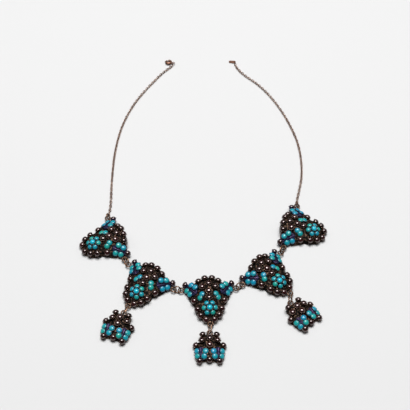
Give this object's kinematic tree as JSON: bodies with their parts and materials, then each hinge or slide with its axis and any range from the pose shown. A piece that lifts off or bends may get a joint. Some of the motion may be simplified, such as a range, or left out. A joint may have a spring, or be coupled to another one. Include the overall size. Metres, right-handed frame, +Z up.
{
  "type": "collar necklace",
  "caption": "Collar necklace of domed garnet and turquoise cluster panels with small drops, a chain to each side and a bolt ring clasp, lying open.",
  "frame": {"origin": "on the surface the necklace lies on, under the middle of its outline", "axes": "+Z up from the surface, +Y from the centre panel towards the clasp, +X to the viewer's right"},
  "size_m": [0.149, 0.2338, 0.0089],
  "materials": {
    "cluster_metal": "dark garnets on old copper-coloured metal, polished",
    "mount_metal": "old copper-coloured metal, satin",
    "turquoise": "polished turquoise cabochon",
    "ring_metal": "worn copper-coloured wire, satin",
    "chain_metal": "grey-brown metal links, satin",
    "clasp_metal": "copper-brown metal, polished by use"
  },
  "bodies": {
    "necklace": {"outer_left_panel": "cluster_metal", "inner_left_panel": "cluster_metal", "centre_panel": "cluster_metal", "inner_right_panel": "cluster_metal", "outer_right_panel": "cluster_metal", "outer_left_flower": "mount_metal", "inner_left_flower": "mount_metal", "centre_flower": "mount_metal", "inner_right_flower": "mount_metal", "outer_right_flower": "mount_metal", "outer_left_flower_stone": "turquoise", "inner_left_flower_stone": "turquoise", "centre_flower_stone": "turquoise", "inner_right_flower_stone": "turquoise", "outer_right_flower_stone": "turquoise", "outer_left_left_leaf": "mount_metal", "outer_left_right_leaf": "mount_metal", "inner_left_left_leaf": "mount_metal", "inner_left_right_leaf": "mount_metal", "centre_left_leaf": "mount_metal", "centre_right_leaf": "mount_metal", "inner_right_left_leaf": "mount_metal", "inner_right_right_leaf": "mount_metal", "outer_right_left_leaf": "mount_metal", "outer_right_right_leaf": "mount_metal", "outer_left_link": "ring_metal", "inner_left_link": "ring_metal", "inner_right_link": "ring_metal", "outer_right_link": "ring_metal", "left_drop": "cluster_metal", "centre_drop": "cluster_metal", "right_drop": "cluster_metal", "left_drop_link": "ring_metal", "centre_drop_link": "ring_metal", "right_drop_link": "ring_metal", "left_chain_ring": "ring_metal", "right_chain_ring": "ring_metal", "left_chain": "chain_metal", "right_chain": "chain_metal", "clasp_ring": "clasp_metal", "clasp_link": "ring_metal", "end_tag": "clasp_metal", "tag_link": "ring_metal"},
    "bolt": {"clasp_bolt": "clasp_metal"}
  },
  "joints": [
    {"name": "bolt_slide", "type": "hinge", "parent": "necklace", "child": "bolt", "pos_m": [-0.0245, 0.11453, 0.00109], "axis": [0, 0.2079, 0.9781], "range_deg": [0, 60], "stiffness_Nm_per_rad": 0.0002}
  ]
}
